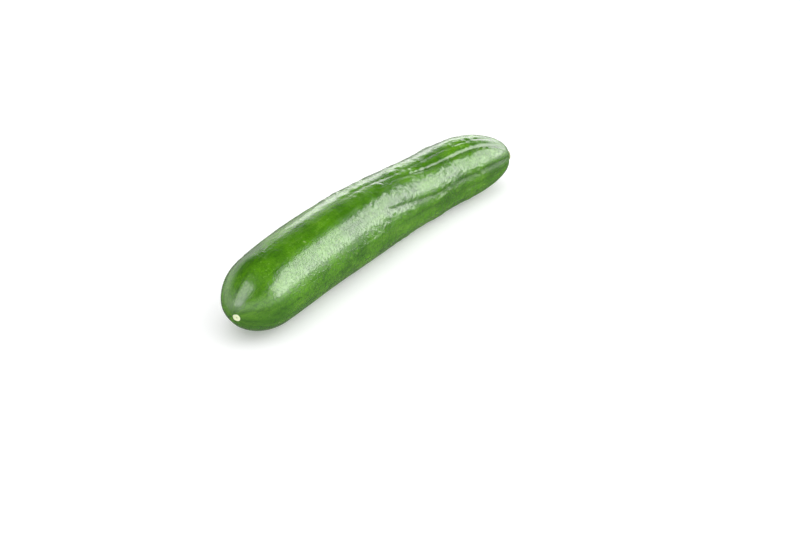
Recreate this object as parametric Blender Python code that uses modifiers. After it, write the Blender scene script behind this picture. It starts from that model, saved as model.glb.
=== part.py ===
"""A whole cucumber lying on its side, made as the one solid that it grew as.

Metres, +Z up. The blossom end points to -X and the stem end to +X. The fruit is bent in the
level plane, with its outer side to +Y. It rests on a narrow flattened strip at z = 0, and the
origin is at the middle of the bottom of its box.
"""

import math

import bpy
import numpy as np

NAME = "cucumber"

# The body, without the marks at its ends.
LENGTH = 0.2235  # straight from tip to tip
BELLY_DIAMETER = 0.042  # the fullest section
BELLY_FROM_BLOSSOM = 0.090  # where that section is
BLOSSOM_DIAMETER = 0.0340  # what the body narrows to at the blossom tip before it is rounded
STEM_DIAMETER = 0.0386  # the section at the stem shoulder
STEM_TAPER = 0.080  # the run over which the belly narrows to the stem shoulder
BLOSSOM_CAP = 0.0247  # length of the rounded blossom end
STEM_CAP = 0.0389  # length of the rounded stem end
BLOSSOM_POWER = 2.0  # superellipse powers of the rounded ends: higher is blunter
STEM_POWER = 2.0
BEND = 0.007  # how far the middle stands off the line between the tips
STEM_CROOK = 0.012  # how far the stem tip curls away from that bend
STEM_CROOK_RUN = 0.050  # length of the end that curls
BLOSSOM_DROOP = 0.4  # share of the narrowing by which the axis sinks towards each end:
STEM_DROOP = 1.0  # at 1 the underside runs straight
REST_DEPTH = 0.0006  # how much the resting side is flattened

# The section is a little three-cornered, and furrowed towards the stem.
CORNERS = 3
CORNER_HEIGHT = 0.00030
FURROWS = 9
FURROW_DEPTH = 0.00045
FURROW_TURN = math.radians(12)  # where the first furrow is, from +Y upwards
FURROW_START = 0.065  # distance from the blossom tip where the skin is still smooth
FURROW_FULL = 0.125  # distance where the furrows have their full depth

# The mark that the flower leaves: a raised ring round a small pit, a little off the axis.
BLOSSOM_SCAR_DIAMETER = 0.0047
BLOSSOM_SCAR_ASIDE = -0.0032  # how far the mark is off the axis, towards +Y
BLOSSOM_SCAR_ABOVE = -0.0006  # and upwards
BLOSSOM_RING_WIDTH = 0.0017
BLOSSOM_RING_HEIGHT = 0.00030
BLOSSOM_PIT_DIAMETER = 0.0025
BLOSSOM_PIT_DEPTH = 0.00035

# The mark that the stem leaves: a low corky boss in a shallow dimple.
STEM_SCAR_DIAMETER = 0.0070
STEM_BOSS_EDGE = 0.0009  # width of the rounded edge of the boss, seen from its end
STEM_BOSS_HEIGHT = 0.0014
STEM_DIMPLE_DIAMETER = 0.0190
STEM_DIMPLE_DEPTH = 0.0018

# How finely the solid is divided.
SECTION_SIDES = 60
SCAR_RINGS = 6
SCAR_REACH = 1.2  # the scar's rings reach this many times its radius
SLIDE_REACH = 0.010  # radius out to which the rings follow the blossom scar off the axis
CAP_RINGS = 12
BODY_RINGS = 24
ON_AXIS = 0.00001

# The skin: sRGB (78, 132, 24) as linear values.
SKIN_COLOUR = (0.0762, 0.2307, 0.0091, 1.0)
SKIN_ROUGHNESS = 0.26


def clear_scene():
    for old in list(bpy.data.objects):
        bpy.data.objects.remove(old, do_unlink=True)


def collection_for(name):
    group = bpy.data.collections.new(name)
    bpy.context.scene.collection.children.link(group)
    return group


def skin_material():
    material = bpy.data.materials.new("cucumber_skin")
    material.use_nodes = True
    shader = material.node_tree.nodes["Principled BSDF"]
    shader.inputs["Base Color"].default_value = SKIN_COLOUR
    shader.inputs["Roughness"].default_value = SKIN_ROUGHNESS
    shader.inputs["Metallic"].default_value = 0.0
    material.diffuse_color = SKIN_COLOUR
    return material


def smooth_step(value):
    """0 below 0, 1 above 1, and 3v^2 - 2v^3 between."""
    share = np.clip(value, 0, 1)
    return share**2 * (3 - 2 * share)


def hump(share):
    """A round hump, (1 - share^2)^2, that is 1 at 0 and ends level at -1 and 1."""
    return np.clip(1 - share**2, 0, None) ** 2


def body_radius(along):
    """Radius of the body before its ends are rounded, at distances from the blossom tip.

    It is belly - (belly - blossom) t^3 before the belly, with t the share of the way back to the
    tip, and belly - (belly - stem) (3t^2 - 2t^3) after it, with t the share of the stem taper.
    """
    to_blossom = np.clip((BELLY_FROM_BLOSSOM - along) / BELLY_FROM_BLOSSOM, 0, 1)
    to_stem = (along - BELLY_FROM_BLOSSOM) / STEM_TAPER
    lost_to_blossom = (BELLY_DIAMETER - BLOSSOM_DIAMETER) * to_blossom**3
    lost_to_stem = (BELLY_DIAMETER - STEM_DIAMETER) * smooth_step(to_stem)
    return (BELLY_DIAMETER - lost_to_blossom - lost_to_stem) / 2


def rounded_end(tip_radii, full_radius, length, power):
    """Distances from a tip, and shares of the full radius, along a superellipse end.

    With turn from 0 to 90 degrees, the distance is length (1 - cos(turn)^(2/power)) and the
    share is sin(turn)^(2/power). The first rings lie at tip_radii, for the mark at the tip.
    """
    tip_turns = np.arcsin((tip_radii / full_radius) ** (power / 2))
    turns = np.concatenate([tip_turns, np.linspace(tip_turns[-1], math.pi / 2, CAP_RINGS)[1:]])
    return length * (1 - np.cos(turns) ** (2 / power)), np.sin(turns) ** (2 / power)


def blossom_scar(radius):
    """How far the blossom mark stands out of the end, at distances from the axis."""
    from_crest = radius - (BLOSSOM_SCAR_DIAMETER - BLOSSOM_RING_WIDTH) / 2
    ring = BLOSSOM_RING_HEIGHT * hump(from_crest / (BLOSSOM_RING_WIDTH / 2))
    pit = BLOSSOM_PIT_DEPTH * hump(radius / (BLOSSOM_PIT_DIAMETER / 2))
    return ring - pit


def stem_scar(radius):
    """How far the stem mark stands out of the end, at distances from the axis."""
    dimple = STEM_DIMPLE_DEPTH * hump(radius / (STEM_DIMPLE_DIAMETER / 2))
    inside = STEM_SCAR_DIAMETER / 2 - radius
    boss = STEM_BOSS_HEIGHT * smooth_step(inside / STEM_BOSS_EDGE)
    return boss - dimple


def outline():
    """Distances along the axis and radii of the turned body, from the blossom to the stem tip."""
    blossom_radii = np.linspace(0, SCAR_REACH * BLOSSOM_SCAR_DIAMETER / 2, SCAR_RINGS)
    from_tip, share = rounded_end(blossom_radii, BLOSSOM_DIAMETER / 2, BLOSSOM_CAP, BLOSSOM_POWER)
    blossom_radius = share * body_radius(from_tip)
    blossom_along = from_tip - blossom_scar(blossom_radius)

    stem_radii = np.linspace(0, SCAR_REACH * STEM_SCAR_DIAMETER / 2, SCAR_RINGS)
    from_tip, share = rounded_end(stem_radii, STEM_DIAMETER / 2, STEM_CAP, STEM_POWER)
    stem_radius = share * body_radius(LENGTH - from_tip)
    stem_along = LENGTH - from_tip + stem_scar(stem_radius)

    middle_along = np.linspace(BLOSSOM_CAP, LENGTH - STEM_CAP, BODY_RINGS + 1)[1:-1]
    along = np.concatenate([blossom_along, middle_along, stem_along[::-1]])
    radius = np.concatenate([blossom_radius, body_radius(middle_along), stem_radius[::-1]])
    return along, radius


def turned_body():
    """The outline turned about Z by a Screw modifier, with the stem end on top."""
    along, radius = outline()
    points = [(r, 0.0, a) for a, r in zip(along[::-1].tolist(), radius[::-1].tolist())]
    edges = [(i, i + 1) for i in range(len(points) - 1)]
    profile_mesh = bpy.data.meshes.new("outline")
    profile_mesh.from_pydata(points, edges, [])
    profile = bpy.data.objects.new("outline", profile_mesh)
    bpy.context.scene.collection.objects.link(profile)

    screw = profile.modifiers.new("turn", "SCREW")
    screw.axis = "Z"
    screw.angle = 2 * math.pi
    screw.steps = SECTION_SIDES
    screw.render_steps = SECTION_SIDES
    screw.use_merge_vertices = True
    screw.merge_threshold = ON_AXIS

    evaluated = profile.evaluated_get(bpy.context.evaluated_depsgraph_get())
    body = bpy.data.meshes.new_from_object(evaluated)
    bpy.data.objects.remove(profile, do_unlink=True)
    bpy.data.meshes.remove(profile_mesh)
    return body


def end_depth(radius):
    """How far behind the blossom tip the rounded end has widened to a radius.

    It is cap (1 - (1 - share^power)^(1/power)), the superellipse solved for the distance.
    """
    share = np.clip(radius / (BLOSSOM_DIAMETER / 2), 0, 1)
    return BLOSSOM_CAP * (1 - (1 - share**BLOSSOM_POWER) ** (1 / BLOSSOM_POWER))


def slid_aside(along, sideways, upwards):
    """The turned points with the blossom mark moved off the axis, over the rounded end.

    A point moves by the mark's place times (1 - (radius / reach)^2)^2, and as far back as the
    end deepens between its old and its new radius.
    """
    radius = np.hypot(sideways, upwards)
    share = hump(radius / SLIDE_REACH) * (along < BLOSSOM_CAP)
    sideways = sideways + share * BLOSSOM_SCAR_ASIDE
    upwards = upwards + share * BLOSSOM_SCAR_ABOVE
    deeper = end_depth(np.hypot(sideways, upwards)) - end_depth(radius)
    return along + deeper * (along < BLOSSOM_CAP), sideways, upwards


def shaped_radius(along, radius, angle):
    """The turned radius with the section's corners and the furrows pressed into it.

    Both fade towards the axis as radius / belly radius, and the furrows grow along the fruit.
    """
    fade = radius / (BELLY_DIAMETER / 2)
    corners = CORNER_HEIGHT * np.cos(CORNERS * angle)
    grown = smooth_step((along - FURROW_START) / (FURROW_FULL - FURROW_START))
    furrows = FURROW_DEPTH * grown * (1 + np.cos(FURROWS * (angle - FURROW_TURN))) / 2
    return radius + fade * (corners - furrows)


def laid_down(along, radius, angle):
    """Points of the fruit lying bent on its side, from the turned shape's cylinder coordinates.

    Seen from above, the axis is the parabola y = BEND (1 - (2x / LENGTH)^2), less the crook
    times the square of the share of its run, and each section stands square to it. The axis
    sinks from the belly by a share of what the body narrows, and nothing reaches below z = 0.
    """
    x = along - LENGTH / 2
    curled = np.clip((along - LENGTH + STEM_CROOK_RUN) / STEM_CROOK_RUN, 0, None)
    y = BEND * (1 - (2 * x / LENGTH) ** 2) - STEM_CROOK * curled**2
    slope = -8 * BEND * x / LENGTH**2 - 2 * STEM_CROOK * curled / STEM_CROOK_RUN
    sideways = radius * np.cos(angle) / np.hypot(1, slope)
    droop = np.where(along < BELLY_FROM_BLOSSOM, BLOSSOM_DROOP, STEM_DROOP)
    sunk = droop * (BELLY_DIAMETER / 2 - body_radius(along))
    height = BELLY_DIAMETER / 2 - REST_DEPTH - sunk
    z = np.maximum(height + radius * np.sin(angle), 0)
    return np.stack([x - slope * sideways, y + sideways, z], axis=1)


def centred(points):
    """The points moved so that the middle of their box is over the origin."""
    middle = (points.min(axis=0) + points.max(axis=0)) / 2
    return points - middle * (1, 1, 0)


def cucumber(group):
    mesh = turned_body()
    turned = np.empty(len(mesh.vertices) * 3)
    mesh.vertices.foreach_get("co", turned)
    turned = turned.reshape(-1, 3)
    along, sideways, upwards = slid_aside(turned[:, 2], turned[:, 0], turned[:, 1])
    radius = np.hypot(sideways, upwards)
    angle = np.arctan2(upwards, sideways)

    points = laid_down(along, shaped_radius(along, radius, angle), angle)
    mesh.vertices.foreach_set("co", centred(points).ravel())
    mesh.update()
    mesh.name = NAME
    mesh.shade_smooth()
    mesh.materials.clear()
    mesh.materials.append(skin_material())
    fruit = bpy.data.objects.new(NAME, mesh)
    group.objects.link(fruit)
    return fruit


def main():
    clear_scene()
    cucumber(collection_for("Cucumber"))


main()
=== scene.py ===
"""The finished look of a whole cucumber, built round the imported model.

The fruit is one numpy surface on a grid of distance along the fruit and angle round it. It takes
its box from the model. The reliefs, which are furrows, wrinkles, pleats, warts and the scars at
the two ends, are added along the surface's own normal. The masks that the skin's colours need
are kept as attributes. Angles round the fruit run from its outer side, +Y, over the top, +Z.
"""

import math

import bpy
import numpy as np
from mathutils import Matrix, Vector


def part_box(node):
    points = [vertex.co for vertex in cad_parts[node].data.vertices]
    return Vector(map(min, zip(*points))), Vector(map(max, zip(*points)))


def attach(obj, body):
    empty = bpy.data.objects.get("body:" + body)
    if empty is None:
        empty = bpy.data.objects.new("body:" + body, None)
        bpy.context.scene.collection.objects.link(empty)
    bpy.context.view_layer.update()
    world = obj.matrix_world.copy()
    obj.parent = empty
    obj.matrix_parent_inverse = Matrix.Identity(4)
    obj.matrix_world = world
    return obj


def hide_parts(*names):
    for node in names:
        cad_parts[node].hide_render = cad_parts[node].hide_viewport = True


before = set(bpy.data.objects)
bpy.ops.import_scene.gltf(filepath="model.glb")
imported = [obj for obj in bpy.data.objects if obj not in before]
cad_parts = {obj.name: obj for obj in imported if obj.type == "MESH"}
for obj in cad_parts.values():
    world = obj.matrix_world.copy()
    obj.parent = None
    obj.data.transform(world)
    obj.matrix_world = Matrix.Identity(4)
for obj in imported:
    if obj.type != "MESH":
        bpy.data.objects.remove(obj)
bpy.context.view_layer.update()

NODE = "cucumber"
MM = 0.001

# The body, in metres, before it is fitted to the model's box.
LENGTH = 0.2235
BELLY_RADIUS = 0.0210
BELLY_AT = 0.090
BLOSSOM_RADIUS = 0.0170
STEM_RADIUS = 0.0193
STEM_TAPER = 0.080
BLOSSOM_CAP = 0.0247
BLOSSOM_POWER = 2.0
STEM_CAP = 0.0389
STEM_POWER = 2.0
BEND = 0.007
STEM_CROOK = 0.012
STEM_CROOK_RUN = 0.050
BLOSSOM_DROOP = 0.4
STEM_DROOP = 1.0
REST_DEPTH = 0.0006
REST_SOFTNESS = 0.00025

# The grid.
AROUND = 192
BLOSSOM_TIP_ROWS = 22
BLOSSOM_CAP_ROWS = 76
BODY_ROWS = 316
STEM_CAP_ROWS = 76
STEM_TIP_ROWS = 24
BLOSSOM_TIP_REACH = 0.0032
STEM_TIP_REACH = 0.0055

# Slow unevenness of the whole body.
CORNERS = 3
CORNER_HEIGHT = 0.30 * MM
LUMP_HEIGHT = 0.40 * MM
DENT_HEIGHT = 0.075 * MM
FINE_DIMPLE_HEIGHT = 0.022 * MM
UNEVENNESS_FADE = 10 * MM

# Furrows that run into the stem: degrees round the fruit where each starts, its distance from
# the blossom tip there, its depth as a share, how many degrees it drifts on its way, and how
# much gentler one wall is, which is the wall at the greater angle if the share is above 0.
FURROWS = (
    (16, 0.096, 0.8, 4, -0.4),
    (52, 0.088, 0.9, 3, -0.3),
    (89, 0.078, 0.6, 8, 0.0),
    (107, 0.112, 1.5, 12, 0.3),
    (135, 0.084, 1.0, 27, 0.6),
    (176, 0.100, 0.8, 10, 0.4),
    (212, 0.092, 0.7, 2, 0.0),
    (248, 0.104, 0.9, -4, 0.0),
    (289, 0.090, 0.8, 3, 0.0),
    (328, 0.100, 0.8, -4, -0.4),
)
FURROW_RUN = 0.034
FURROW_DRIFT_RUN = 0.070
FURROW_SWAY = 0.050
FURROW_VARIATION = 0.35
FURROW_DEPTH = 0.60 * MM
FURROW_END_RADIUS = 3 * MM
FURROW_END_FADE = 9 * MM
GROOVE_SHARE = 0.6
GROOVE_WIDTH = 1.05 * MM
VALLEY_SHARE = 0.7
VALLEY_WIDTH = 4.2 * MM

# Creases on the ribs, and narrow pleats along the outer side.
WRINKLE_START = 0.074
WRINKLE_FULL = 0.098
WRINKLE_FADE = 0.185
WRINKLE_END = 0.214
CREASE_HEIGHT = 0.60 * MM
CROSS_CREASE_HEIGHT = 0.12 * MM
PLEAT_HEIGHT = 0.28 * MM
PLEAT_START = 0.010
PLEAT_RUN = 0.030
PLEAT_SPREAD = 0.40

# Low warts with pale tips.
WARTS = 38
WART_HEIGHT = 0.16 * MM
WART_RADIUS = 0.80 * MM
WART_SIZES = (0.55, 1.2)
WART_PLACES = (0.012, LENGTH - 0.014)

# The scars. The blossom scar is a little off the axis.
BLOSSOM_SCAR_ASIDE = -2.4 * MM
BLOSSOM_SCAR_ABOVE = -0.6 * MM
SLIDE_REACH = 10 * MM
RING_RADIUS = 1.40 * MM
RING_WIDTH = 0.80 * MM
RING_HEIGHT = 0.28 * MM
PIT_RADIUS = 0.80 * MM
PIT_DEPTH = 0.25 * MM
MOAT_DEPTH = 0.10 * MM
BOSS_RADIUS = 3.50 * MM
BOSS_EDGE = 0.90 * MM
BOSS_HEIGHT = 1.10 * MM
BOSS_HOLLOW = 0.35 * MM
BOSS_GRAIN = 0.10 * MM
BOSS_GRAIN_REACH = 12 * MM
DIMPLE_RADIUS = 9.50 * MM
DIMPLE_DEPTH = 2.00 * MM

# The camera, in degrees and metres.
CAMERA_AZIMUTH = -49.5
CAMERA_ELEVATION = 31.2
CAMERA_DISTANCE = 0.650
CAMERA_HEIGHT = 0.021
CAMERA_LENS_MM = 52.70
CAMERA_SENSOR_MM = 36
AIM_RIGHT = 0.0161
AIM_DOWN = 0.0306


# ---------------------------------------------------------------- form


def smooth_step(value):
    """0 below 0, 1 above 1, and 3v^2 - 2v^3 between."""
    share = np.clip(value, 0, 1)
    return share**2 * (3 - 2 * share)


def hump(share):
    """(1 - share^2)^2: a round hump that is 1 at 0 and ends level at -1 and 1."""
    return np.clip(1 - share**2, 0, None) ** 2


def wrapped(angle):
    """The same angle from -pi to pi."""
    return (angle + math.pi) % (2 * math.pi) - math.pi


def rippling(rows, turns, row_cells, turn_cells, seed):
    """Gradient noise, about -1 to 1, on a lattice that closes round the fruit.

    rows is the distance as a share of LENGTH and turns the angle as a share of a turn. Each
    lattice point has a seeded slope, and the four slopes round a point are blended by
    6t^5 - 15t^4 + 10t^3 both ways.
    """
    slopes = np.random.default_rng(seed).uniform(0, 2 * math.pi, (row_cells + 3, turn_cells))
    row_place = np.clip(rows, -0.02, 1.02) * row_cells + 1
    turn_place = (turns % 1.0) * turn_cells
    row_at = np.floor(row_place).astype(int)
    turn_at = np.floor(turn_place).astype(int)
    row_part = row_place - row_at
    turn_part = turn_place - turn_at

    def pull(row_step, turn_step):
        slope = slopes[row_at + row_step, (turn_at + turn_step) % turn_cells]
        return np.cos(slope) * (row_part - row_step) + np.sin(slope) * (turn_part - turn_step)

    row_blend = row_part**3 * (row_part * (6 * row_part - 15) + 10)
    turn_blend = turn_part**3 * (turn_part * (6 * turn_part - 15) + 10)
    near = pull(0, 0) * (1 - row_blend) + pull(1, 0) * row_blend
    far = pull(0, 1) * (1 - row_blend) + pull(1, 1) * row_blend
    return 1.5 * (near * (1 - turn_blend) + far * turn_blend)


def body_radius(along):
    """Radius before the ends are rounded.

    belly - (belly - blossom) t^3 before the belly, with t the share of the way back to the tip,
    and belly - (belly - stem) (3t^2 - 2t^3) after it, with t the share of the stem taper.
    """
    to_blossom = np.clip((BELLY_AT - along) / BELLY_AT, 0, 1)
    lost_to_blossom = (BELLY_RADIUS - BLOSSOM_RADIUS) * to_blossom**3
    lost_to_stem = (BELLY_RADIUS - STEM_RADIUS) * smooth_step((along - BELLY_AT) / STEM_TAPER)
    return BELLY_RADIUS - lost_to_blossom - lost_to_stem


def rounded_end(reach, tip_rows, cap_rows, full_radius, length, power):
    """Distances from a tip and shares of the full radius, along a superellipse end.

    With turn from 0 to 90 degrees, the distance is length (1 - cos(turn)^(2/power)) and the
    share is sin(turn)^(2/power). Rows lie evenly out to reach, and evenly in turn after it.
    """
    tip_turns = np.arcsin((np.linspace(0, reach, tip_rows) / full_radius) ** (power / 2))
    cap_turns = np.linspace(tip_turns[-1], math.pi / 2, cap_rows + 1)[1:]
    turns = np.concatenate([tip_turns, cap_turns])
    return length * (1 - np.cos(turns) ** (2 / power)), np.sin(turns) ** (2 / power)


def outline():
    """Distances along the fruit and radii of its rows, from the blossom tip to the stem tip."""
    blossom_rows = (BLOSSOM_TIP_REACH, BLOSSOM_TIP_ROWS, BLOSSOM_CAP_ROWS)
    stem_rows = (STEM_TIP_REACH, STEM_TIP_ROWS, STEM_CAP_ROWS)
    blossom_end = (BLOSSOM_RADIUS, BLOSSOM_CAP, BLOSSOM_POWER)
    stem_end = (STEM_RADIUS, STEM_CAP, STEM_POWER)
    blossom_along, blossom_share = rounded_end(*blossom_rows, *blossom_end)
    from_stem, stem_share = rounded_end(*stem_rows, *stem_end)
    body_along = np.linspace(BLOSSOM_CAP, LENGTH - STEM_CAP, BODY_ROWS + 1)[1:-1]
    along = np.concatenate([blossom_along, body_along, LENGTH - from_stem[::-1]])
    share = np.concatenate([blossom_share, np.ones_like(body_along), stem_share[::-1]])
    return along, share * body_radius(along)


def end_depth(radius):
    """How far behind the blossom tip the rounded end has widened to a radius.

    cap (1 - (1 - share^power)^(1/power)), the superellipse solved for the distance.
    """
    share = np.clip(radius / BLOSSOM_RADIUS, 0, 1)
    return BLOSSOM_CAP * (1 - (1 - share**BLOSSOM_POWER) ** (1 / BLOSSOM_POWER))


def slid_aside(along, radius, angle):
    """The grid with the blossom scar's rings moved off the axis, over the rounded end.

    A point moves by the scar's place times (1 - (radius / reach)^2)^2, and as far back as the
    end deepens between its old and its new radius.
    """
    at_end = along < BLOSSOM_CAP
    share = hump(radius / SLIDE_REACH) * at_end
    aside = radius * np.cos(angle) + share * BLOSSOM_SCAR_ASIDE
    above = radius * np.sin(angle) + share * BLOSSOM_SCAR_ABOVE
    moved = np.hypot(aside, above)
    return along + (end_depth(moved) - end_depth(radius)) * at_end, moved, np.arctan2(above, aside)


def bent(along, radius, angle):
    """Points of the bent fruit lying on its side.

    Seen from above, the axis is the parabola y = BEND (1 - (2x / LENGTH)^2), less the crook
    times the square of the share of its run, and each section stands square to it. The axis
    sinks from the belly by a share of what the body narrows.
    """
    x = along - LENGTH / 2
    curled = np.clip((along - LENGTH + STEM_CROOK_RUN) / STEM_CROOK_RUN, 0, None)
    y = BEND * (1 - (2 * x / LENGTH) ** 2) - STEM_CROOK * curled**2
    slope = -8 * BEND * x / LENGTH**2 - 2 * STEM_CROOK * curled / STEM_CROOK_RUN
    sideways = radius * np.cos(angle) / np.hypot(1, slope)
    droop = np.where(along < BELLY_AT, BLOSSOM_DROOP, STEM_DROOP)
    sunk = droop * (BELLY_RADIUS - body_radius(along))
    z = BELLY_RADIUS - REST_DEPTH - sunk + radius * np.sin(angle)
    return np.stack([x - slope * sideways, y + sideways, z], axis=-1)


def outward(points):
    """Unit normals of the closed grid, from the differences along and round it."""
    along_step = np.gradient(points, axis=0)
    round_step = (np.roll(points, -1, axis=1) - np.roll(points, 1, axis=1)) / 2
    normals = np.cross(round_step, along_step)
    normals[0] = normals[1].mean(axis=0)
    normals[-1] = normals[-2].mean(axis=0)
    return normals / np.linalg.norm(normals, axis=-1, keepdims=True)


def settled(points):
    """The points with the underside flattened on the floor: z becomes (z + sqrt(z^2 + s^2)) / 2."""
    z = points[..., 2]
    lifted = (z + np.sqrt(z**2 + REST_SOFTNESS**2)) / 2
    return np.concatenate([points[..., :2], lifted[..., None]], axis=-1)


def fitted(points, low, high):
    """The points moved and stretched so that their box is the model's box."""
    flat = points.reshape(-1, 3)
    least, most = flat.min(axis=0), flat.max(axis=0)
    low, high = np.array(low), np.array(high)
    return low + (points - least) * (high - low) / (most - least)


# ---------------------------------------------------------------- relief


def unevenness(rows, turns, angle, fade):
    """Three soft corners, slow lumps, dents and fine dimples: a cosine and three sizes of noise."""
    corners = CORNER_HEIGHT * np.cos(CORNERS * angle)
    lumps = LUMP_HEIGHT * rippling(rows, turns, 5, 4, 11)
    dents = DENT_HEIGHT * rippling(rows, turns, 22, 13, 12)
    dimples = FINE_DIMPLE_HEIGHT * rippling(rows, turns, 60, 30, 13)
    return fade * (corners + lumps + dents + dimples)


def furrows(along, radius, angle, rows):
    """Grooves in wide valleys, which leave round ribs between them, and the mask of the grooves,
    for painted shade in the skin.

    Each is depth (a exp(-(d / groove width)^2) + b exp(-(d / valley width)^2)), with a and b the
    two shares, and d the distance round the fruit from a line that drifts and sways as it goes,
    shortened on the gentler side.
    """
    groove = np.zeros_like(angle)
    valley = np.zeros_like(angle)
    for number, (degrees, start, depth, drift, lean) in enumerate(FURROWS):
        lane = np.full_like(rows, number / len(FURROWS))
        sway = FURROW_SWAY * rippling(rows, lane, 9, len(FURROWS), 40)
        strength = 1 + FURROW_VARIATION * rippling(rows, lane, 14, len(FURROWS), 41)
        drifted = drift * smooth_step((along - start) / FURROW_DRIFT_RUN)
        away = wrapped(angle - np.radians(degrees + drifted) - sway) * np.maximum(radius, 2 * MM)
        away = away * np.where(away * lean > 0, 1 - abs(lean), 1)
        grown = depth * strength * smooth_step((along - start) / FURROW_RUN)
        groove += grown * np.exp(-((away / GROOVE_WIDTH) ** 2))
        valley += grown * np.exp(-((away / VALLEY_WIDTH) ** 2))
    fade = smooth_step((radius - FURROW_END_RADIUS) / FURROW_END_FADE)
    relief = -FURROW_DEPTH * fade * (GROOVE_SHARE * groove + VALLEY_SHARE * valley)
    return relief, np.clip(groove * fade, 0, 1)


def wrinkles(along, angle, rows, turns):
    """Creases on the ribs, pleats on the outer side, and the mask of where the skin is wrinkled.

    All are sharp-bottomed noise, |n|, bent by slower noise. Long creases, and finer ones that
    cross them, lie in patches towards the stem. Narrow pleats run along the whole outer side.
    """
    bend = 0.012 * rippling(rows, turns, 26, 14, 21)
    long_crease = np.abs(rippling(rows + bend, turns + bend, 34, 32, 22))
    cross_crease = np.abs(rippling(rows + bend, turns, 92, 24, 23))
    patch = np.clip(0.55 + 0.9 * rippling(rows, turns, 12, 9, 24), 0, 1)
    grown = smooth_step((along - WRINKLE_START) / (WRINKLE_FULL - WRINKLE_START))
    faded = 1 - smooth_step((along - WRINKLE_FADE) / (WRINKLE_END - WRINKLE_FADE))
    wrinkled = patch * grown * faded
    height = CREASE_HEIGHT * long_crease + CROSS_CREASE_HEIGHT * cross_crease
    pleats = np.abs(rippling(rows + bend, turns, 24, 58, 25))
    outer = smooth_step(np.cos(angle) / PLEAT_SPREAD)
    outer = outer * smooth_step((along - PLEAT_START) / PLEAT_RUN)
    return height * wrinkled + PLEAT_HEIGHT * pleats * outer, wrinkled


def warts(along, radius, angle):
    """Low bumps, height exp(-(d / r)^2), at random places, and the mask of their pale tips.

    The mask is exp(-(d / r)^2 / 0.3), so that a tip is about half as wide as its bump.
    """
    draw = np.random.default_rng(8)
    relief = np.zeros_like(angle)
    tips = np.zeros_like(relief)
    for _ in range(WARTS):
        wart_along = draw.uniform(*WART_PLACES)
        wart_angle = draw.uniform(-math.pi, math.pi)
        size = draw.uniform(*WART_SIZES)
        spread = WART_RADIUS * size
        away = wrapped(angle - wart_angle) * radius
        near = ((along - wart_along) ** 2 + away**2) / spread**2
        relief += WART_HEIGHT * size * np.exp(-near)
        tips += np.exp(-near / 0.30) * draw.uniform(0.5, 1.0)
    return relief, np.clip(tips, 0, 1)


def blossom_scar(along, radius, turns):
    """A raised ring round a small pit, near the tip only, and the masks of the scar and pit.

    The ring, the pit and a fine moat outside the ring are humps (1 - t^2)^2, with t the distance
    from the middle of each as a share of its reach. The ring's radius wavers by a tenth.
    """
    here = along < BLOSSOM_CAP / 2
    uneven = 1 + 0.10 * rippling(np.zeros_like(turns), turns, 1, 7, 31)
    crest = RING_RADIUS * uneven
    ring = hump((radius - crest) / RING_WIDTH) * here
    disc = np.where(radius < crest, here, ring)
    pit = hump(radius / PIT_RADIUS) * here
    moat = hump((radius - crest - 1.1 * RING_WIDTH) / (0.6 * RING_WIDTH)) * here
    relief = RING_HEIGHT * ring - PIT_DEPTH * pit - MOAT_DEPTH * moat
    return relief, disc, pit


def stem_scar(along, radius, turns):
    """A corky boss in a dimple, near the stem tip only, and the mask of the boss.

    The boss is a smooth step at an edge that wavers by a twentieth. The dimple, and the hollow
    in the boss, are humps (1 - t^2)^2. Its grain is noise that grows with the radius.
    """
    here = along > LENGTH - STEM_CAP / 2
    edge = BOSS_RADIUS * (1 + 0.05 * rippling(np.zeros_like(turns), turns, 1, 9, 32))
    boss = smooth_step((edge - radius) / BOSS_EDGE) * here
    hollow = hump(radius / (0.7 * BOSS_RADIUS)) * here
    dimple = hump(radius / DIMPLE_RADIUS) * here
    spokes = rippling(radius / BOSS_GRAIN_REACH, turns, 10, 22, 33)
    grain = BOSS_GRAIN * spokes * radius / BOSS_RADIUS
    relief = BOSS_HEIGHT * boss - DIMPLE_DEPTH * dimple - BOSS_HOLLOW * hollow + grain * boss
    return relief, boss


def skin_surface():
    """The whole surface on its grid: points, places on the straightened fruit, and the masks.

    A point is the bent body's point plus the sum of the reliefs along the body's normal, settled
    on the floor.
    """
    row_along, row_radius = outline()
    row_angle = np.linspace(0, 2 * math.pi, AROUND, endpoint=False)
    start_along, start_radius, start_angle = np.broadcast_arrays(
        row_along[:, None], row_radius[:, None], row_angle[None, :]
    )
    start_turns = start_angle / (2 * math.pi)
    along, radius, angle = slid_aside(start_along, start_radius, start_angle)
    rows, turns = along / LENGTH, angle / (2 * math.pi)

    rib_relief, groove = furrows(along, radius, angle, rows)
    wrinkle_relief, wrinkled = wrinkles(along, angle, rows, turns)
    wart_relief, tips = warts(along, radius, angle)
    blossom_relief, disc, pit = blossom_scar(start_along, start_radius, start_turns)
    stem_relief, boss = stem_scar(start_along, start_radius, start_turns)
    relief = unevenness(rows, turns, angle, smooth_step(radius / UNEVENNESS_FADE))
    relief += rib_relief + wrinkle_relief + wart_relief + blossom_relief + stem_relief

    base = bent(along, radius, angle)
    points = settled(base + outward(base) * relief[..., None])
    place = np.stack([along, BELLY_RADIUS * np.cos(angle), BELLY_RADIUS * np.sin(angle)], axis=-1)
    masks = {"groove": groove, "wrinkled": wrinkled, "wart_tip": tips}
    masks.update({"blossom_scar": disc, "scar_pit": pit, "cork": boss})
    return points, place, masks


def closed_grid(values):
    """One value or row for each vertex: both poles once, and the rings between them."""
    rings = values[1:-1].reshape((-1,) + values.shape[2:])
    return np.concatenate([values[:1, 0], rings, values[-1:, 0]])


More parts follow.
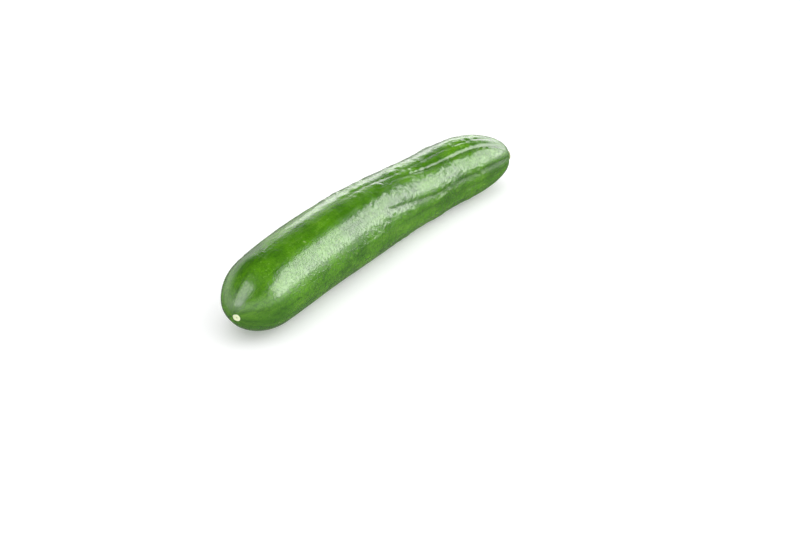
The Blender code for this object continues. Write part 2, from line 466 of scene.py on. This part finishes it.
def closed_faces(rings):
    """Quads between rings and fans at the two poles, all facing out."""
    row = np.arange(rings - 1)[:, None] * AROUND + 1
    here = np.arange(AROUND)
    after = (here + 1) % AROUND
    quads = np.stack([row + here, row + after, row + AROUND + after, row + AROUND + here], axis=-1)
    last = (rings - 1) * AROUND + 1
    pole = np.full(AROUND, last + AROUND)
    first_fan = np.stack([np.zeros(AROUND, int), 1 + after, 1 + here], axis=-1)
    last_fan = np.stack([pole, last + here, last + after], axis=-1)
    return quads.reshape(-1, 4).tolist() + first_fan.tolist() + last_fan.tolist()


def cucumber_skin(finish):
    """The cucumber's surface as a mesh object in the model's box."""
    points, place, masks = skin_surface()
    points = fitted(points, *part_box(NODE))
    mesh = bpy.data.meshes.new("cucumber_surface")
    mesh.from_pydata(closed_grid(points), [], closed_faces(points.shape[0] - 2))
    mesh.update()
    mesh.shade_smooth()

    straight = mesh.attributes.new("fruit_place", "FLOAT_VECTOR", "POINT")
    straight.data.foreach_set("vector", closed_grid(place).astype(np.float32).ravel())
    for name, mask in masks.items():
        attribute = mesh.attributes.new(name, "FLOAT", "POINT")
        attribute.data.foreach_set("value", closed_grid(mask).astype(np.float32).ravel())
    mesh.materials.append(finish)

    skin = bpy.data.objects.new("cucumber_surface", mesh)
    bpy.context.scene.collection.objects.link(skin)
    return skin


# ---------------------------------------------------------------- finishes


def paint(red, green, blue):
    """A colour given as 0 to 255 display values, as linear light with full alpha."""
    shown = np.array([red, green, blue]) / 255
    linear = np.where(shown <= 0.04045, shown / 12.92, ((shown + 0.055) / 1.055) ** 2.4)
    return (*linear.tolist(), 1.0)


class Wire:
    """A number that flows between shader nodes. Arithmetic on it adds Math nodes."""

    def __init__(self, finish, socket):
        self.finish = finish
        self.socket = socket

    def __add__(self, other):
        return self.finish.maths("ADD", self, other)

    def __sub__(self, other):
        return self.finish.maths("SUBTRACT", self, other)

    def __rsub__(self, other):
        return self.finish.maths("SUBTRACT", other, self)

    def __mul__(self, other):
        return self.finish.maths("MULTIPLY", self, other)

    def __abs__(self):
        return self.finish.maths("ABSOLUTE", self, 0.0)

    __radd__ = __add__
    __rmul__ = __mul__


class Finish:
    """A material in the making."""

    def __init__(self, name):
        self.material = bpy.data.materials.new(name)
        self.material.use_nodes = True
        self.tree = self.material.node_tree
        self.tree.nodes.clear()

    def node(self, kind, settings, sockets, output=None):
        """Adds a node, makes its settings, fills its sockets and gives the named output, if any."""
        made = self.tree.nodes.new(kind)
        for setting, value in settings.items():
            if setting == "stops":
                fill_ramp(made.color_ramp, value)
            else:
                setattr(made, setting, value)
        by_name = {socket.name: socket for socket in reversed(made.inputs)}
        by_name.update({socket.identifier: socket for socket in made.inputs})
        for name, value in sockets.items():
            if isinstance(value, Wire):
                self.tree.links.new(value.socket, by_name[name])
            else:
                by_name[name].default_value = value
        outputs = {socket.identifier: socket for socket in made.outputs}
        return Wire(self, outputs[output]) if output else None

    def maths(self, operation, first, second):
        """The named operation on two numbers."""
        sockets = {"Value": first, "Value_001": second}
        return self.node("ShaderNodeMath", {"operation": operation}, sockets, "Value")

    def mixed(self, share, first, second):
        """first where share is 0, and second where it is 1, as colours."""
        sockets = {"Factor_Float": share, "A_Color": first, "B_Color": second}
        return self.node("ShaderNodeMix", {"data_type": "RGBA"}, sockets, "Result_Color")

    def ramp(self, value, low, high):
        """0 at low and 1 at high, smoothly between."""
        settings = {"interpolation_type": "SMOOTHSTEP"}
        sockets = {"Value": value, "From Min": low, "From Max": high}
        return self.node("ShaderNodeMapRange", settings, sockets, "Result")

    def attribute(self, name, output):
        """What the surface holds under that name."""
        return self.node("ShaderNodeAttribute", {"attribute_name": name}, {}, output)

    def stretched(self, vector, factors):
        """The vector times the factors, so that noise is drawn out where a factor is below 1."""
        settings = {"operation": "MULTIPLY"}
        sockets = {"Vector": vector, "Vector_001": factors}
        return self.node("ShaderNodeVectorMath", settings, sockets, "Vector")

    def noise(self, vector, cell, detail=2.0, roughness=0.5):
        """Noise from 0 to 1 whose cells are that many metres across."""
        sockets = {"Vector": vector, "Scale": 1 / cell, "Detail": detail, "Roughness": roughness}
        return self.node("ShaderNodeTexNoise", {}, sockets, "Fac")


def fill_ramp(ramp, stops):
    """Colour stops as (position, colour) pairs."""
    while len(ramp.elements) < len(stops):
        ramp.elements.new(1.0)
    for element, (position, colour) in zip(ramp.elements, stops):
        element.position = position
        element.color = colour


def waxy_skin():
    """Glossy green skin: streaked and mottled, pale in fine flecks and on the wart tips.

    A network of fine lines covers it, with painted shade darkening the lines, and it stands out
    more on its two sides than along its top. The small relief is inverted, so its lines are low
    ridges and not grooves.
    """
    skin = Finish("waxy_skin")
    place = skin.attribute("fruit_place", "Vector")
    groove = skin.attribute("groove", "Fac")
    wrinkled = skin.attribute("wrinkled", "Fac")
    tip = skin.attribute("wart_tip", "Fac")
    disc = skin.attribute("blossom_scar", "Fac")
    pit = skin.attribute("scar_pit", "Fac")
    cork = skin.attribute("cork", "Fac")

    along_streaks = skin.stretched(place, (0.10, 1.0, 1.0))
    streaks = skin.noise(along_streaks, 3.2 * MM, 3.0, 0.6)
    patches = skin.noise(place, 22 * MM, 2.0)
    green = skin.mixed(skin.ramp(patches, 0.30, 0.72), paint(58, 112, 2), paint(86, 146, 6))
    green = skin.mixed(0.50 * skin.ramp(streaks, 0.50, 0.78), green, paint(110, 160, 36))
    green = skin.mixed(0.50 * skin.ramp(streaks, 0.46, 0.24), green, paint(38, 84, 2))
    blotches = skin.noise(skin.stretched(place, (0.6, 1.0, 1.0)), 4.5 * MM, 3.0, 0.6)
    green = skin.mixed(0.55 * skin.ramp(blotches, 0.54, 0.72), green, paint(104, 158, 36))
    green = skin.mixed(0.55 * skin.ramp(blotches, 0.46, 0.30), green, paint(40, 88, 2))

    fleck_field = skin.noise(skin.stretched(place, (0.55, 1.0, 1.0)), 0.85 * MM, 1.0)
    flecks = skin.ramp(fleck_field, 0.66, 0.76) * skin.ramp(patches, 0.35, 0.60)
    green = skin.mixed(0.40 * flecks, green, paint(150, 190, 96))
    network = skin.noise(skin.stretched(place, (1.0, 0.5, 0.5)), 1.5 * MM, 2.0)
    between_lines = skin.ramp(abs(2 * network - 1), 0.0, 0.13)
    # Painted shade: the skin is darkened along the lines of the fine network.
    green = skin.mixed(0.45 - 0.45 * between_lines, green, paint(38, 84, 2))
    # Painted shade: the skin is darkened along the grooves of the furrows.
    green = skin.mixed(0.45 * groove, green, paint(38, 78, 10))
    green = skin.mixed(0.70 * tip, green, paint(206, 228, 150))

    corky = skin.mixed(skin.noise(place, 1.1 * MM, 3.0), paint(196, 190, 130), paint(120, 132, 70))
    green = skin.mixed(cork, green, corky)
    green = skin.mixed(skin.ramp(disc, 0.10, 0.50), green, paint(240, 248, 200))
    green = skin.mixed(0.75 * skin.ramp(pit, 0.20, 0.90), green, paint(176, 196, 120))

    pores = skin.noise(place, 0.55 * MM, 2.0)
    pebbles = skin.noise(place, 2.4 * MM, 2.0)
    cross_lines = skin.noise(skin.stretched(place, (1.0, 0.28, 0.28)), 1.4 * MM, 2.0)
    along = skin.node("ShaderNodeSeparateXYZ", {}, {"Vector": place}, "X")
    sideways = skin.node("ShaderNodeSeparateXYZ", {}, {"Vector": place}, "Y")
    crazed = skin.ramp(abs(sideways), 0.008, 0.016) * skin.ramp(along, 0.012, 0.036)
    height = 0.05 * pores + 0.40 * pebbles + (0.6 + 1.6 * crazed) * between_lines
    height += 1.2 * wrinkled * cross_lines
    bump_sockets = {"Strength": 0.35, "Distance": 0.15 * MM, "Height": height}
    bumped = skin.node("ShaderNodeBump", {"invert": True}, bump_sockets, "Normal")
    scar = skin.ramp(disc + cork, 0.05, 0.50)
    roughness = 0.13 + 0.07 * pebbles + 0.45 * scar

    shader = skin.node(
        "ShaderNodeBsdfPrincipled",
        {},
        {
            "Base Color": green,
            "Roughness": roughness,
            "Normal": bumped,
            "IOR": 1.60,
            "Specular IOR Level": 1.0,
            "Subsurface Weight": 0.12,
            "Subsurface Radius": (0.6, 1.0, 0.25),
            "Subsurface Scale": 1.5 * MM,
        },
        "BSDF",
    )
    skin.node("ShaderNodeOutputMaterial", {}, {"Surface": shader})
    return skin.material


def matt_white():
    """The plain pale floor."""
    white = Finish("matt_white")
    shader = white.node(
        "ShaderNodeBsdfPrincipled",
        {},
        {
            "Base Color": (0.80, 0.80, 0.81, 1),
            "Roughness": 0.9,
            "Specular IOR Level": 0.1,
            "Emission Color": (1, 1, 1, 1),
            "Emission Strength": 0.26,
        },
        "BSDF",
    )
    white.node("ShaderNodeOutputMaterial", {}, {"Surface": shader})
    return white.material


# ---------------------------------------------------------------- studio


def studio_floor():
    """A wide level sheet just under the fruit, which doesn't show in the skin's gloss."""
    reach = 3.0
    corners = [(-reach, -reach, 0), (reach, -reach, 0), (reach, reach, 0), (-reach, reach, 0)]
    mesh = bpy.data.meshes.new("studio_floor")
    mesh.from_pydata(corners, [], [(0, 1, 2, 3)])
    mesh.materials.append(matt_white())
    floor = bpy.data.objects.new("studio_floor", mesh)
    bpy.context.scene.collection.objects.link(floor)
    floor.visible_glossy = False


def pointed_at(obj, aim):
    """Turns the object so that its -Z points at the aim."""
    obj.rotation_euler = (Vector(aim) - obj.location).to_track_quat("-Z", "Y").to_euler()


def softbox(name, azimuth, elevation, distance, size, glow, unseen=()):
    """A flat light facing the fruit; azimuth turns from +X towards +Y, and glow is its radiance.

    unseen names the kinds of ray that miss it, such as "glossy" for a fill without a reflection.
    """
    light = bpy.data.lights.new(name, "AREA")
    light.shape = "RECTANGLE"
    light.size, light.size_y = size
    light.energy = glow * 4 * size[0] * size[1]
    lamp = bpy.data.objects.new(name, light)
    turn, rise = math.radians(azimuth), math.radians(elevation)
    level = distance * math.cos(rise)
    lamp.location = (level * math.cos(turn), level * math.sin(turn), distance * math.sin(rise))
    pointed_at(lamp, (0, 0, CAMERA_HEIGHT))
    for kind in unseen:
        setattr(lamp, "visible_" + kind, False)
    bpy.context.scene.collection.objects.link(lamp)


def pale_room():
    """Surroundings that are white at eye level, dark overhead and dim far below."""
    world = bpy.data.worlds.new("pale_room")
    world.use_nodes = True
    bpy.context.scene.world = world
    nodes, links = world.node_tree.nodes, world.node_tree.links
    nodes.clear()
    where = nodes.new("ShaderNodeTexCoord")
    apart = nodes.new("ShaderNodeSeparateXYZ")
    height = nodes.new("ShaderNodeMapRange")
    shade = nodes.new("ShaderNodeValToRGB")
    glow = nodes.new("ShaderNodeBackground")
    end = nodes.new("ShaderNodeOutputWorld")
    height.inputs["From Min"].default_value = -1.0
    levels = ((0.36, 0.18), (0.43, 0.80), (0.54, 0.85), (0.60, 0.90), (0.73, 0.03), (1.0, 0.02))
    fill_ramp(shade.color_ramp, [(at, (level, level, level, 1)) for at, level in levels])
    links.new(where.outputs["Generated"], apart.inputs["Vector"])
    links.new(apart.outputs["Z"], height.inputs["Value"])
    links.new(height.outputs["Result"], shade.inputs["Fac"])
    links.new(shade.outputs["Color"], glow.inputs["Color"])
    links.new(glow.outputs["Background"], end.inputs["Surface"])


def camera():
    """Looks down on the fruit from beyond its blossom end."""
    turn, rise = math.radians(CAMERA_AZIMUTH), math.radians(CAMERA_ELEVATION)
    level = math.cos(rise)
    back = Vector((math.sin(turn) * level, -math.cos(turn) * level, math.sin(rise)))
    right = Vector((math.cos(turn), math.sin(turn), 0))
    up = back.cross(right)
    middle = Vector((0, 0, CAMERA_HEIGHT))
    lens = bpy.data.cameras.new("camera")
    lens.lens = CAMERA_LENS_MM
    lens.sensor_width = CAMERA_SENSOR_MM
    lens.clip_start = 0.01
    lens.dof.use_dof = False
    eye = bpy.data.objects.new("camera", lens)
    eye.location = middle + back * CAMERA_DISTANCE
    pointed_at(eye, middle + right * AIM_RIGHT - up * AIM_DOWN)
    bpy.context.scene.collection.objects.link(eye)
    bpy.context.scene.camera = eye


def main():
    """Sets up the studio, then adds the fruit, fitted to the box of the model's node, in place of
    that node.
    """
    bpy.context.scene.view_settings.view_transform = "Standard"
    camera()
    studio_floor()
    pale_room()
    softbox("overhead", -90, 89, 1.5, (3.0, 3.0), 1.3, ("glossy",))
    softbox("key", -52, 25, 2.4, (3.6, 1.97), 1.42, ("glossy",))
    softbox("key_gloss", -52, 25, 2.3, (3.45, 1.89), 2.75, ("diffuse",))
    softbox("side", 172, 34, 1.0, (0.80, 1.00), 1.85, ("diffuse",))
    softbox("rear", 25, 14, 1.0, (1.2, 0.36), 1.9, ("diffuse",))

    fruit = cucumber_skin(waxy_skin())
    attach(fruit, "root")
    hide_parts(NODE)


main()
